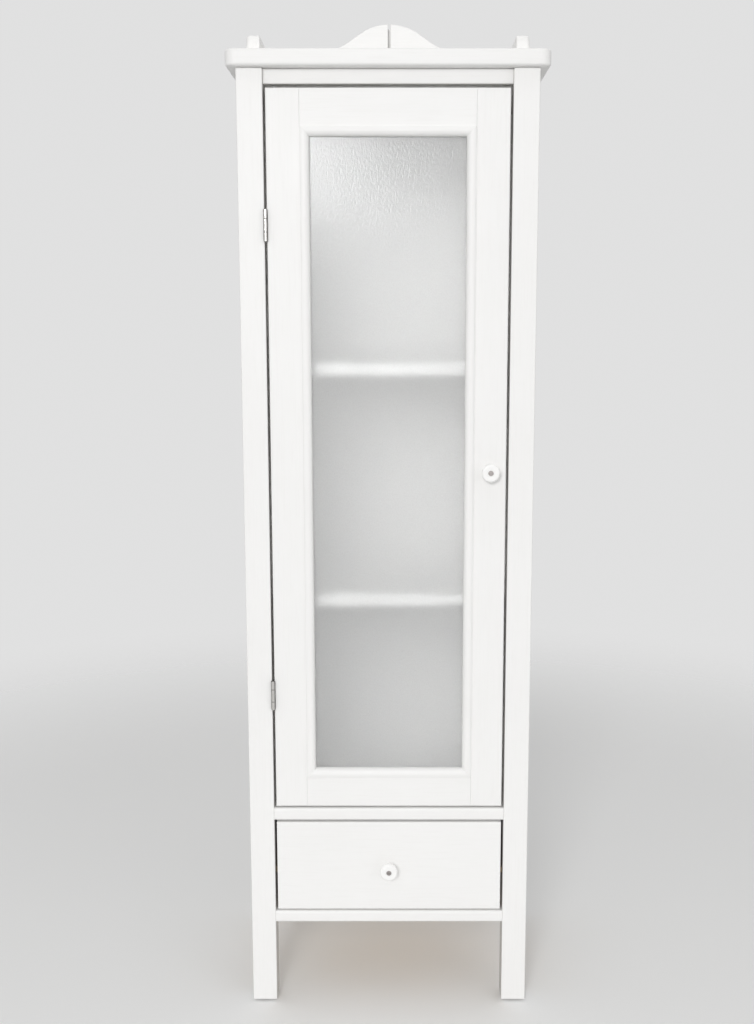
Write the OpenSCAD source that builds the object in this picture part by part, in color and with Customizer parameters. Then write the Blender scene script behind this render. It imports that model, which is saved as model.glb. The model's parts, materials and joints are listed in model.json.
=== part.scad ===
// Tall bathroom cabinet on four posts: one glazed door over one drawer,
// two shelves inside, and a low gallery with a split crest on the top board.
// X runs across the front, the front faces -Y, Z is up from the floor.

/* [Posts] */
// Width across the outer faces of the posts
body_w = 480; // [400:1:600]
// Depth from the front posts' front faces to the rear posts' rear faces
body_d = 340; // [280:1:420]
// Length of each post
post_h = 1581; // [1300:1:1900]
// Side of each square post
post = 42; // [34:1:55]
// Radius of the posts' long edges
post_edge = 2; // [1:0.5:4]

/* [Glides] */
// Thickness of the glide under each post
glide_h = 4; // [2:0.5:8]
// Diameter of each glide
glide_d = 26; // [18:1:32]
// Diameter of the glide's nail
glide_nail_d = 5; // [3:0.5:8]
// Length of the glide's nail
glide_nail_l = 14; // [8:1:25]

/* [Top board] */
// Thickness of the top board
top_t = 26; // [18:1:34]
// Overhang of the top board in front of the posts
top_front = 14; // [8:1:40]
// Overhang of the top board at each side
top_side = 16; // [6:1:30]
// Plan radius of the top board's two front corners
top_corner = 16; // [6:1:30]

/* [Gallery] */
// Thickness of the gallery boards
gallery_t = 22; // [12:1:24]
// Height of the side gallery boards at their front ends
gallery_front_h = 24; // [20:1:40]
// Height of the gallery at its back corners
gallery_back_h = 60; // [45:1:70]
// Distance from the top board's ends to the gallery's outer faces
gallery_inset = 32; // [15:1:45]
// Distance from the top board's front edge to the gallery's front ends
gallery_setback = 24; // [18:1:60]
// Length of the curve that lifts each side board to the back
gallery_sweep = 100; // [70:5:130]
// Height of the crest at its middle
crest_h = 110; // [95:0.5:130]
// Radius of the crest's rounded head
crest_head_r = 95; // [60:1:100]
// Radius of the hollow curve at each foot of the crest
crest_foot_r = 110; // [80:1:130]
// Steepest slope of the crest's outline, in degrees
crest_slope = 34.5; // [28:0.5:40]
// Gap between the two halves of the crest
crest_gap = 5; // [2:0.5:10]

/* [Front rails] */
// Height of the bottom rail above the posts' lower ends
leg_clear = 146; // [100:1:200]
// Height of the bottom rail
bottom_rail_h = 21; // [18:1:30]
// Height of the opening for the drawer
drawer_opening = 167; // [140:1:220]
// Height of the middle rail
middle_rail_h = 22; // [18:1:30]
// Height of the top rail
top_rail_h = 24; // [18:1:30]
// Depth of the bottom and middle rails, front to back
rail_depth = 40; // [30:1:60]
// Thickness of the top rail, front to back
top_rail_t = 20; // [16:1:26]
// Distance that the top rail stands behind the posts' front faces
top_rail_recess = 9; // [2:1:14]

/* [Carcass boards] */
// Thickness of the side panels
side_t = 18; // [12:1:22]
// Thickness of the back panel
back_t = 5; // [3:0.5:8]
// Width of the rebate in each rear post that takes the back panel
back_rebate = 9; // [6:1:14]
// Distance that the back panel stands inside the posts' rear faces
back_recess = 2; // [1.8:0.1:4]
// Gap between the back panel's edges and its rebates
back_clear = 0.3; // [0.1:0.1:1]
// Thickness of the three rear rails
rear_rail_t = 18; // [12:1:22]
// Height of the three rear rails
rear_rail_h = 58; // [40:1:80]
// Thickness of the cabinet's floor
floor_t = 12; // [9:1:16]
// Width of the rebate in the middle rail that carries the floor
floor_rebate = 12; // [8:1:16]

/* [Shelves] */
// Thickness of each shelf
shelf_t = 19; // [15:1:24]
// Top of the lower shelf above the cabinet's floor
lower_shelf_up = 368.5; // [300:0.5:420]
// Top of the upper shelf above the cabinet's floor
upper_shelf_up = 761; // [650:1:900]
// Distance from the posts' front faces to the shelves' front edges
shelf_setback = 40; // [30:1:70]
// Gap at each end of a shelf and behind it
shelf_clear = 1; // [0.5:0.5:3]
// Diameter of the shelf pins
pin_d = 5; // [4:0.5:8]
// Length of a shelf pin inside the side panel, and again under the shelf
pin_l = 10; // [8:1:12]
// Distance from the posts to the shelf pins
pin_edge = 38; // [25:1:60]

/* [Door] */
// Thickness of the door
door_t = 20; // [18:1:24]
// Gap at each side of the door
door_gap = 4; // [3.6:0.1:5]
// Gap above the door
door_gap_top = 7; // [3:0.5:9]
// Gap below the door
door_gap_bottom = 4; // [2:0.5:6]
// Width of the door's stiles
stile_w = 53; // [45:1:70]
// Width of the door's top rail
door_top_w = 58; // [45:1:75]
// Width of the door's bottom rail
door_bottom_w = 52; // [45:1:75]

/* [Glazing] */
// Thickness of the glass
glass_t = 4; // [3:0.5:5]
// Distance from the door's front face to the glass
glass_set = 8; // [6:0.5:10]
// Gap between the glass and the door frame's inner edges
glass_clear = 1.5; // [0.5:0.5:3]
// Width of the front bead round the glass
bead_w = 16; // [12:0.5:20]
// Distance that the bead stands in front of the door's face
bead_proud = 4; // [2:0.5:5]
// Radius of the bead's rounded inner edge
bead_r = 9; // [5:0.5:11]
// Width of the small step along the bead's outer edge
bead_step = 2; // [1:0.5:3]
// Width of the strips that hold the glass from behind
retainer_w = 12; // [8:0.5:14]
// Gap where a short strip meets a long one
retainer_gap = 0.2; // [0.1:0.1:0.5]

/* [Hinges] */
// Length of each butt hinge
hinge_l = 50; // [40:1:75]
// Radius of the hinge barrel
hinge_r = 3.5; // [3.2:0.1:3.6]
// Radius of the hinge pin
hinge_pin_r = 1.5; // [1.2:0.1:1.8]
// Running clearance of the pin in its knuckles
hinge_pin_clear = 0.05; // [0.02:0.01:0.09]
// Thickness of the hinge leaves
leaf_t = 1.5; // [1:0.1:1.6]
// Depth of the hinge leaves behind the posts' front faces
leaf_d = 18; // [14:1:20]
// Distance of the hinge axis in front of the posts' front faces
hinge_out = 3.3; // [3.2:0.1:4.2]
// Length of the middle knuckle
knuckle_middle = 21; // [16:1:30]
// Gap between neighbouring knuckles
knuckle_gap = 0.3; // [0.2:0.1:0.5]
// Middle of the upper hinge below the door's top edge
hinge_down = 212; // [120:1:300]
// Middle of the lower hinge above the door's bottom edge
hinge_up = 199; // [120:1:300]

/* [Knobs] */
// Diameter of each knob
knob_d = 30; // [24:1:36]
// Length of each knob
knob_l = 24; // [20:1:30]
// Thickness of the knob's head
knob_head = 10; // [8:0.5:12]
// Radius of the head's two rounded edges
knob_rim = 3.5; // [2:0.5:3.5]
// Diameter of the knob's neck
knob_neck_d = 14; // [10:1:18]
// Height of the door's knob above the door's bottom edge
knob_up = 581; // [450:1:700]

/* [Drawer] */
// Gap at each side of the drawer's front
drawer_gap = 4; // [2:0.5:5]
// Gap above and below the drawer's front
drawer_gap_z = 3.5; // [2:0.5:5]
// Distance that the drawer's knob sits below the middle of the front
drawer_knob_down = 2.5; // [0:0.5:15]
// Thickness of the drawer's front
drawer_front_t = 18; // [16:1:22]
// Thickness of the drawer's sides
drawer_side_t = 14; // [12:1:16]
// Height of the drawer's sides above the middle rear rail's lower edge, which stops them
drawer_stop_h = 8; // [4:1:20]
// Lower edge of the drawer's sides above the bottom rail
drawer_side_up = 7; // [4:1:15]
// Gap between the drawer's sides and the side panels
drawer_side_gap = 6; // [4:0.5:8]
// Thickness of the drawer's back
drawer_back_t = 12; // [10:1:16]
// Thickness of the drawer's bottom
drawer_bottom_t = 5; // [3:0.5:6]
// Height of the bottom's groove above the sides' lower edge
drawer_bottom_up = 8; // [6:1:14]
// Depth of the grooves that hold the drawer's bottom
drawer_groove = 5; // [4:0.5:6]
// Height of the two runner strips
runner_h = 10; // [8:1:14]
// Distance that a runner strip reaches into the drawer side's groove
runner_reach = 5; // [4:0.5:6]
// Running clearance between a runner strip and its groove
runner_clear = 0.3; // [0.2:0.1:0.6]
// Height of the runner strips above the drawer sides' lower edge
runner_up = 54; // [40:1:60]

/* [Catch] */
// Length of the magnetic catch and of its strike plate
catch_l = 46; // [30:1:60]
// Width of the catch from the post's inner face
catch_w = 14; // [10:1:18]
// Depth of the catch, front to back
catch_d = 16; // [12:1:22]
// Thickness of the strike plate on the door
strike_t = 1.2; // [0.8:0.1:2]
// Middle of the catch below the door's top edge
catch_down = 60; // [40:1:150]
// Gap between the catch and its strike plate
catch_gap = 0.3; // [0.2:0.1:0.6]

/* [Fasteners] */
// Diameter of the wooden dowels
dowel_d = 8; // [6:1:10]
// Length of the wooden dowels
dowel_l = 32; // [24:1:34]
// Radial clearance round dowels, screws and pins
fit = 0.05; // [0.02:0.01:0.1]
// Shank diameter of the small screws
screw_d = 3; // [2.5:0.5:4]
// Head diameter of the small screws
screw_head_d = 6; // [5:0.5:8]
// Diameter of the two holes for screws to the wall
wall_hole_d = 6; // [4:0.5:8]
// Distance between the two holes for screws to the wall
wall_hole_gap = 240; // [120:1:300]

/* [Hidden] */
$fn = 48;

// Places front to back. The origin is under the middle of the whole depth.
front_reach = max(top_front, knob_l);
front_y = front_reach - (front_reach + body_d) / 2;
rear_y = front_y + body_d;
back_face_y = rear_y - back_recess;
back_y = back_face_y - back_t;
rear_rail_y = back_y - rear_rail_t;
post_back_y = front_y + post;
rear_post_y = rear_y - post;

// Places side to side
half_w = body_w / 2;
inner_x = half_w - post;
post_mid_x = half_w - post / 2;
top_half_w = half_w + top_side;

// Places bottom to top
leg_z = glide_h;
post_top = leg_z + post_h;
top_z = post_top + top_t;
bottom_rail_z = leg_z + leg_clear;
drawer_open_z = bottom_rail_z + bottom_rail_h;
middle_rail_z = drawer_open_z + drawer_opening;
floor_z = middle_rail_z + middle_rail_h;
top_rail_z = post_top - top_rail_h;
rear_rail_zs = [post_top - rear_rail_h, floor_z - floor_t - rear_rail_h, bottom_rail_z];

// Door
door_half_w = inner_x - door_gap;
door_z = floor_z + door_gap_bottom;
door_top_z = top_rail_z - door_gap_top;
door_back_y = front_y + door_t;
pane_half_w = door_half_w - stile_w;
pane_z = door_z + door_bottom_w;
pane_top_z = door_top_z - door_top_w;
glass_y = front_y + glass_set;
glass_back_y = glass_y + glass_t;
knob_x = door_half_w - stile_w / 2;
knob_z = door_z + knob_up;

// Hinges: the leaf plates start just behind the barrel
hinge_x = -inner_x + door_gap / 2;
hinge_y = front_y - hinge_out;
hinge_zs = [door_top_z - hinge_down, door_z + hinge_up];
leaf_start = 0.6;
leaf_screw_z = 0.32 * hinge_l;
leaf_screw_y = front_y + 0.6 * leaf_d;
leaf_screw_l = 15;
pin_button_r = hinge_r - 0.7;
pin_button_h = 1.4;
pin_shoulder = 0.1;

// Drawer
drawer_front_half_w = inner_x - drawer_gap;
drawer_front_z = drawer_open_z + drawer_gap_z;
drawer_front_top = middle_rail_z - drawer_gap_z;
drawer_front_back_y = front_y + drawer_front_t;
drawer_half_w = inner_x - drawer_side_gap;
drawer_in_x = drawer_half_w - drawer_side_t;
drawer_side_z = drawer_open_z + drawer_side_up;
drawer_side_top = rear_rail_zs[1] + drawer_stop_h;
drawer_knob_z = (drawer_front_z + drawer_front_top) / 2 - drawer_knob_down;

// Gap between the drawer's back end and the rear rails
drawer_end_gap = 0.3;
drawer_end_y = rear_rail_y - drawer_end_gap;
drawer_back_y = drawer_end_y - drawer_back_t;

// Clearance of the drawer's bottom in its grooves
bottom_clear = 0.2;
drawer_bottom_z = drawer_side_z + drawer_bottom_up;

// Runner strips, and the room between a strip's edge and its groove's bottom
runner_z = drawer_side_z + runner_up;
runner_tip_x = drawer_half_w - runner_reach;
runner_tip_gap = 1;
runner_front_gap = 4;
runner_y = drawer_front_back_y + runner_front_gap;

// Shelves
shelf_y = front_y + shelf_setback;
shelf_back_y = back_y - shelf_clear;
lower_shelf_z = floor_z + lower_shelf_up - shelf_t;
upper_shelf_z = floor_z + upper_shelf_up - shelf_t;
pin_ys = [post_back_y + pin_edge, rear_post_y - pin_edge];

// Gallery: the nose rounds the upper front corner of each side board
gallery_x = top_half_w - gallery_inset;
gallery_y = front_y - top_front + gallery_setback;
gallery_nose = 5;
crest_y = rear_y - gallery_t;

// Catch, with its strike plate a little narrower and inside the door's edge
catch_z = door_top_z - catch_down;
catch_y = door_back_y + strike_t + catch_gap;
strike_edge = 2;
strike_x = door_half_w - strike_edge;
strike_w = catch_w - strike_edge;

// Dowels: the middle of each one, grouped by the way that it points.
// A hole runs on a little past each end of its dowel.
dowel_end = 0.5;
rail_dowel_in = 16;
front_rail_dowels = [
    for (z = [bottom_rail_z + bottom_rail_h / 2, middle_rail_z + middle_rail_h / 2])
        [inner_x, front_y + rail_dowel_in, z]
];
top_rail_dowels = [
    [inner_x, front_y + top_rail_recess + top_rail_t / 2, top_rail_z + top_rail_h / 2]
];
rear_rail_dowels = [
    for (z = rear_rail_zs, up = [0.25, 0.75])
        [inner_x, rear_rail_y + rear_rail_t / 2, z + up * rear_rail_h]
];
dowels_x = concat(front_rail_dowels, top_rail_dowels, rear_rail_dowels);

// Dowels between the side panels and the posts: low, middle and high
panel_dowel_up = 115;
panel_dowel_down = 143;
panel_mid_x = inner_x + side_t / 2;
panel_mid_z = (bottom_rail_z + post_top) / 2;
dowels_y = [
    for (y = [post_back_y, rear_post_y],
        z = [bottom_rail_z + panel_dowel_up, panel_mid_z, post_top - panel_dowel_down])
        [panel_mid_x, y, z]
];

// Dowels from the posts up into the top board, clear of the rails' dowels
post_dowel_in = 12;
dowels_z = [
    for (y = [front_y + post / 2, rear_y - post / 2])
        [half_w - post_dowel_in, y, post_top]
];

// Dowels under the gallery boards, from the ends of each board
gallery_dowel_in = 40;
crest_dowel_mid = 60;
crest_dowel_in = 50;
gallery_dowels = [
    [gallery_x - gallery_t / 2, gallery_y + gallery_dowel_in, top_z],
    [gallery_x - gallery_t / 2, crest_y - gallery_dowel_in, top_z],
    [crest_dowel_mid, crest_y + gallery_t / 2, top_z],
    [gallery_x - crest_dowel_in, crest_y + gallery_t / 2, top_z]
];

// Two dowels at each end of the door's rails
door_dowel_step = 28;
door_dowel_spots = [
    for (z = [pane_z - door_bottom_w / 2, pane_top_z + door_top_w / 2], up = [-0.5, 0.5])
        [pane_half_w, front_y + door_t / 2, z + up * door_dowel_step]
];

// Dowels of the drawer box, one below the runner's groove and one above it
drawer_dowel_l = 20;
drawer_dowel_d = 6;
drawer_dowel_zs = [runner_z - 20, drawer_side_top - 15];
drawer_front_dowels = [
    for (z = drawer_dowel_zs) [drawer_in_x + drawer_side_t / 2, drawer_front_back_y, z]
];
drawer_back_dowels = [
    for (z = drawer_dowel_zs) [drawer_in_x, drawer_back_y + drawer_back_t / 2, z]
];

// Screws: each bite is the length inside the piece that the screw holds to
panel_bite = 10;
post_bite = 12;
top_bite = 15;
runner_screw_l = drawer_side_gap + runner_reach + panel_bite;
runner_screw_ys = [
    (runner_y + post_back_y) / 2,
    (runner_y + rear_rail_y) / 2,
    (rear_post_y + rear_rail_y) / 2
];
catch_screw_l = catch_w + post_bite;
catch_screw_y = catch_y + 0.6 * catch_d;
catch_screw_zs = [catch_z - catch_l / 3, catch_z + catch_l / 3];
strike_screw_l = 12;

// Back panel screws: a row up each post, and a pair in each rear rail
back_screw_l = back_t + 11;
back_screw_head_t = 1.8;
back_screw_rows = 7;
back_screw_end = 25;
back_screw_x = inner_x + back_rebate / 2;
back_row_z = bottom_rail_z + back_screw_end;
back_row_step = (post_top - back_screw_end - back_row_z) / (back_screw_rows - 1);
rail_screw_x = 70;
back_screw_spots = concat(
    [for (side = [-1, 1], i = [0:back_screw_rows - 1])
        [side * back_screw_x, back_row_z + i * back_row_step]],
    [for (z = rear_rail_zs, side = [-1, 1]) [side * rail_screw_x, z + rear_rail_h / 2]]
);

// Screws up through the top rail into the top board
top_screw_l = top_rail_h + top_bite;
top_screw_d = 4;
top_screw_head_d = 8;
top_screw_step = 130;

// Knobs: a shallow dish in the face, a bore that sinks the screw's head, and
// a foot that is a little wider than the neck
knob_dish_r = 90;
knob_dish_deep = 0.4;
knob_sink_d = 9.2;
knob_sink = 3.4;
knob_foot_d = knob_neck_d + 3;
knob_foot_h = 3;
knob_screw_d = 4;
knob_screw_head_d = 8.4;
knob_screw_head_t = 2.6;
knob_screw_bite = 14;

// Length by which a cut runs past the face that it opens
past = 1;

// Colours
paint = [0.95, 0.94, 0.93];
beech = [0.82, 0.68, 0.48];
pine = [0.86, 0.74, 0.55];
nickel = [0.74, 0.74, 0.75];
zinc = [0.62, 0.62, 0.63];
black = [0.08, 0.08, 0.08];
obscure = [0.80, 0.84, 0.84, 0.5];

// ---- shapes that repeat ----

// A plain board between two opposite corners
module board(low, high) {
    translate(low) cube(high - low);
}

// A piece and its mirror image on the other side of the cabinet
module both_sides() {
    children();
    mirror([1, 0, 0]) children();
}

// A square with rounded corners, from its low corner
module rounded_square(size, r) {
    translate([r, 0]) square([size.x - 2 * r, size.y]);
    translate([0, r]) square([size.x, size.y - 2 * r]);
    for (x = [r, size.x - r], y = [r, size.y - r]) translate([x, y]) circle(r);
}

// Cylinders along X, Y or Z through the middle points given
module rods(spots, way, d, l) {
    turn = way == "x" ? [0, 90, 0] : way == "y" ? [90, 0, 0] : [0, 0, 0];
    for (p = spots) translate(p) rotate(turn) cylinder(d = d, h = l, center = true);
}

// Every dowel of the fixed cabinet, or its hole when spare is above nought
module cabinet_dowels(spare) {
    d = dowel_d + 2 * spare;
    l = spare > 0 ? dowel_l + 2 * dowel_end : dowel_l;
    both_sides() {
        rods(dowels_x, "x", d, l);
        rods(dowels_y, "y", d, l);
        rods(dowels_z, "z", d, l);
        rods(gallery_dowels, "z", d, l);
    }
}

// Every dowel of the door frame, or its hole
module door_frame_dowels(spare) {
    l = spare > 0 ? dowel_l + 2 * dowel_end : dowel_l;
    both_sides() rods(door_dowel_spots, "x", dowel_d + 2 * spare, l);
}

// Every dowel of the drawer box, or its hole
module drawer_box_dowels(spare) {
    d = drawer_dowel_d + 2 * spare;
    l = spare > 0 ? drawer_dowel_l + 2 * dowel_end : drawer_dowel_l;
    both_sides() {
        rods(drawer_front_dowels, "y", d, l);
        rods(drawer_back_dowels, "x", d, l);
    }
}

// A countersunk screw pointing along +Z, its head flush with the origin.
// With spare above nought it is the hole for the screw.
module sunk_screw(l, spare, d = screw_d, head_d = screw_head_d) {
    sink = (head_d - d) / 2;
    cylinder(d1 = head_d + 2 * spare, d2 = d + 2 * spare, h = sink);
    cylinder(d = d + 2 * spare, h = l + (spare > 0 ? dowel_end : 0));
}

// Cross recess in the head of a screw that points along +Z
module cross_recess(width, deep) {
    for (a = [0, 90]) rotate(a) translate([-width / 2, -width / 8, -past])
        cube([width, width / 4, deep + past]);
}

// Screws that hold the hinges' post leaves, or their holes
module post_leaf_screws(spare) {
    for (hz = hinge_zs, up = [-leaf_screw_z, leaf_screw_z])
        translate([-inner_x + leaf_t, leaf_screw_y, hz + up])
            rotate([0, -90, 0]) sunk_screw(leaf_screw_l, spare);
}

// Screws that hold the hinges' door leaves, or their holes
module door_leaf_screws(spare) {
    for (hz = hinge_zs, up = [-leaf_screw_z, leaf_screw_z])
        translate([-door_half_w - leaf_t, leaf_screw_y, hz + up])
            rotate([0, 90, 0]) sunk_screw(leaf_screw_l, spare);
}

// The strike plate's screw, or its hole
module strike_screw(spare) {
    translate([strike_x - strike_w / 2, door_back_y + strike_t, catch_z])
        rotate([90, 0, 0]) sunk_screw(strike_screw_l, spare);
}

// Screws that hold the runner strips to the cabinet, or their holes
module runner_screws(spare) {
    both_sides() for (y = runner_screw_ys)
        translate([runner_tip_x, y, runner_z + runner_h / 2])
            rotate([0, 90, 0]) sunk_screw(runner_screw_l, spare);
}

// Screws that hold the magnetic catch, or their holes
module catch_screws(spare) {
    for (z = catch_screw_zs)
        translate([inner_x - catch_w, catch_screw_y, z])
            rotate([0, 90, 0]) sunk_screw(catch_screw_l, spare);
}

// Pan-headed screws of the back panel, or their holes
module back_screws(spare) {
    for (p = back_screw_spots) translate([p.x, back_face_y, p.y]) rotate([90, 0, 0])
        cylinder(d = screw_d + 2 * spare, h = back_screw_l + (spare > 0 ? dowel_end : 0));
}

// Screws up through the top rail into the top board, or their holes
module top_screws(spare) {
    for (x = [-top_screw_step, 0, top_screw_step])
        translate([x, front_y + top_rail_recess + top_rail_t / 2, top_rail_z])
            sunk_screw(top_screw_l, spare, top_screw_d, top_screw_head_d);
}

// The hole that a knob's screw makes in the door or the drawer's front
module knob_screw_hole(x, z) {
    translate([x, front_y, z]) rotate([-90, 0, 0]) translate([0, 0, -past])
        cylinder(d = knob_screw_d + 2 * fit, h = knob_screw_bite + dowel_end + past);
}

// Holes for the shelf pins of both shelves, or the pins themselves
module pins(spare) {
    both_sides() for (z = [lower_shelf_z, upper_shelf_z], y = pin_ys)
        translate([inner_x, y, z - pin_d / 2 - fit]) rotate([0, 90, 0])
            cylinder(d = pin_d + 2 * spare, h = 2 * (pin_l + spare), center = true);
}

// Holes through the upper rear rail and the back panel to the wall
module wall_holes() {
    spots = [for (side = [-1, 1])
        [side * wall_hole_gap / 2, back_y, post_top - rear_rail_h / 2]];
    rods(spots, "y", wall_hole_d, 2 * (rear_rail_t + back_t));
}

// ---- posts and glides ----

// One post, drawn at the right; rebated for the back panel when it is a rear one
module post_at(y, rebated) {
    color(paint) difference() {
        translate([inner_x, y, leg_z]) linear_extrude(post_h)
            rounded_square([post, post], post_edge);
        if (rebated)
            board([inner_x - past, back_y, bottom_rail_z],
                [inner_x + back_rebate, rear_y + past, post_top + past]);
        cabinet_dowels(fit);
        translate([post_mid_x, y + post / 2, leg_z - past])
            cylinder(d = glide_nail_d + 2 * fit, h = glide_nail_l + dowel_end + past);
        children();
    }
}

module post_front_left() {
    mirror([1, 0, 0]) post_at(front_y, false) {
        mirror([1, 0, 0]) post_leaf_screws(fit);
        runner_screws(fit);
    }
}

module post_front_right() {
    post_at(front_y, false) {
        runner_screws(fit);
        catch_screws(fit);
    }
}

module post_rear_left() {
    mirror([1, 0, 0]) post_at(rear_post_y, true) {
        runner_screws(fit);
        back_screws(fit);
    }
}

module post_rear_right() {
    post_at(rear_post_y, true) {
        runner_screws(fit);
        back_screws(fit);
    }
}

module foot_glides() {
    color(black) both_sides() for (y = [front_y + post / 2, rear_y - post / 2])
        translate([post_mid_x, y, 0]) {
            cylinder(d1 = glide_d - glide_h / 2, d2 = glide_d, h = glide_h / 2);
            translate([0, 0, glide_h / 2]) cylinder(d = glide_d, h = glide_h / 2);
            cylinder(d = glide_nail_d, h = glide_h + glide_nail_l);
        }
}

// ---- fixed boards and rails ----

module side_panel() {
    color(paint) difference() {
        board([inner_x, post_back_y, bottom_rail_z],
            [inner_x + side_t, rear_post_y, post_top]);
        cabinet_dowels(fit);
        pins(fit);
        runner_screws(fit);
    }
}

module side_panel_left() {
    mirror([1, 0, 0]) side_panel();
}

module side_panel_right() {
    side_panel();
}

module back_panel() {
    half = inner_x + back_rebate - back_clear;
    color(paint) difference() {
        board([-half, back_y, bottom_rail_z], [half, back_face_y, post_top]);
        back_screws(fit);
        wall_holes();
    }
}

module back_panel_screws() {
    color(zinc) {
        back_screws(0);
        for (p = back_screw_spots) translate([p.x, back_face_y, p.y]) rotate([90, 0, 0])
            difference() {
                translate([0, 0, -back_screw_head_t])
                    cylinder(d1 = 0.7 * screw_head_d, d2 = screw_head_d, h = back_screw_head_t);
                translate([0, 0, -back_screw_head_t])
                    cross_recess(screw_head_d / 2, back_screw_head_t / 2);
            }
    }
}

module top_rail() {
    y = front_y + top_rail_recess;
    color(paint) difference() {
        board([-inner_x, y, top_rail_z], [inner_x, y + top_rail_t, post_top]);
        cabinet_dowels(fit);
        top_screws(fit);
    }
}

module middle_rail() {
    color(paint) difference() {
        board([-inner_x, front_y, middle_rail_z], [inner_x, front_y + rail_depth, floor_z]);
        board([-inner_x - past, front_y + rail_depth - floor_rebate, floor_z - floor_t],
            [inner_x + past, front_y + rail_depth + past, floor_z + past]);
        cabinet_dowels(fit);
    }
}

module bottom_rail() {
    color(paint) difference() {
        board([-inner_x, front_y, bottom_rail_z],
            [inner_x, front_y + rail_depth, drawer_open_z]);
        cabinet_dowels(fit);
    }
}

// One of the three rails behind the cabinet, from its lower edge
module rear_rail(z) {
    color(paint) difference() {
        board([-inner_x, rear_rail_y, z], [inner_x, back_y, z + rear_rail_h]);
        cabinet_dowels(fit);
        back_screws(fit);
        wall_holes();
    }
}

module rear_rail_top() {
    rear_rail(rear_rail_zs[0]);
}

module rear_rail_middle() {
    rear_rail(rear_rail_zs[1]);
}

module rear_rail_bottom() {
    rear_rail(rear_rail_zs[2]);
}

module cabinet_floor() {
    color(paint) board([-inner_x, front_y + rail_depth - floor_rebate, floor_z - floor_t],
        [inner_x, back_y, floor_z]);
}

module top_board() {
    d = body_d + top_front;
    color(paint) difference() {
        translate([-top_half_w, front_y - top_front, post_top]) linear_extrude(top_t) {
            translate([0, top_corner]) square([2 * top_half_w, d - top_corner]);
            translate([top_corner, 0]) square([2 * (top_half_w - top_corner), d]);
            for (x = [top_corner, 2 * top_half_w - top_corner])
                translate([x, top_corner]) circle(top_corner);
        }
        cabinet_dowels(fit);
        top_screws(fit);
    }
}

module top_board_screws() {
    color(zinc) top_screws(0);
}

// ---- gallery and crest ----

// Points along an arc from angle a to angle b
function arc(mid, r, a, b, steps = 14) =
    [for (i = [0:steps]) mid + r * [cos(a + (b - a) * i / steps), sin(a + (b - a) * i / steps)]];

// Outline of a side gallery board, length along the first axis from its front
// end: low in front, with one curve up and one curve over to the back's height
function gallery_outline(l) =
    let (rise = (gallery_back_h - gallery_front_h) / 2,
        half = gallery_sweep / 2,
        r = (half * half + rise * rise) / (2 * rise),
        turn = asin(half / r))
    concat([[0, 0]],
        arc([gallery_nose, gallery_front_h - gallery_nose], gallery_nose, 180, 90, 5),
        arc([l - gallery_sweep, gallery_front_h + r], r, 270, 270 + turn),
        arc([l, gallery_back_h - r], r, 90 + turn, 90),
        [[l, 0]]);

// Outline of the right half of the crest, from its middle to the back corner
function crest_outline() =
    let (foot_x = crest_head_r * sin(crest_slope)
            + (crest_h - crest_head_r * (1 - cos(crest_slope)) - gallery_back_h
                - crest_foot_r * (1 - cos(crest_slope))) / tan(crest_slope)
            + crest_foot_r * sin(crest_slope))
    concat([[crest_gap / 2, 0]],
        arc([0, crest_h - crest_head_r], crest_head_r,
            90 - asin(crest_gap / 2 / crest_head_r), 90 - crest_slope),
        arc([foot_x, gallery_back_h + crest_foot_r], crest_foot_r, 270 - crest_slope, 270),
        [[gallery_x, gallery_back_h], [gallery_x, 0]]);

module gallery_side() {
    color(paint) difference() {
        translate([gallery_x - gallery_t, gallery_y, top_z]) rotate([90, 0, 90])
            linear_extrude(gallery_t) polygon(gallery_outline(crest_y - gallery_y));
        cabinet_dowels(fit);
    }
}

module gallery_left() {
    mirror([1, 0, 0]) gallery_side();
}

module gallery_right() {
    gallery_side();
}

module crest_half() {
    color(paint) difference() {
        translate([0, rear_y, top_z]) rotate([90, 0, 0])
            linear_extrude(gallery_t) polygon(crest_outline());
        cabinet_dowels(fit);
    }
}

module crest_left() {
    mirror([1, 0, 0]) crest_half();
}

module crest_right() {
    crest_half();
}

module carcass_dowels() {
    color(beech) cabinet_dowels(0);
}

// ---- shelves ----

module shelf(z) {
    x = inner_x - shelf_clear;
    color(paint) board([-x, shelf_y, z], [x, shelf_back_y, z + shelf_t]);
}

module shelf_upper() {
    shelf(upper_shelf_z);
}

module shelf_lower() {
    shelf(lower_shelf_z);
}

module shelf_pins() {
    color(zinc) pins(0);
}

// ---- runners, catch and their screws ----

module runner() {
    color(pine) difference() {
        board([runner_tip_x, runner_y, runner_z], [inner_x, rear_rail_y, runner_z + runner_h]);
        runner_screws(fit);
    }
}

module drawer_runner_left() {
    mirror([1, 0, 0]) runner();
}

module drawer_runner_right() {
    runner();
}

module magnetic_catch() {
    color(paint) difference() {
        board([inner_x - catch_w, catch_y, catch_z - catch_l / 2],
            [inner_x, catch_y + catch_d, catch_z + catch_l / 2]);
        catch_screws(fit);
    }
}

module fitting_screws() {
    color(zinc) {
        runner_screws(0);
        catch_screws(0);
    }
}

// ---- hinges ----

// Heights of the knuckles from the hinge's middle: low and high end of each
knuckle_end = knuckle_middle / 2;
middle_span = [[-knuckle_end, knuckle_end]];
end_spans = [
    [-hinge_l / 2, -knuckle_end - knuckle_gap],
    [knuckle_end + knuckle_gap, hinge_l / 2]
];

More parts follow.
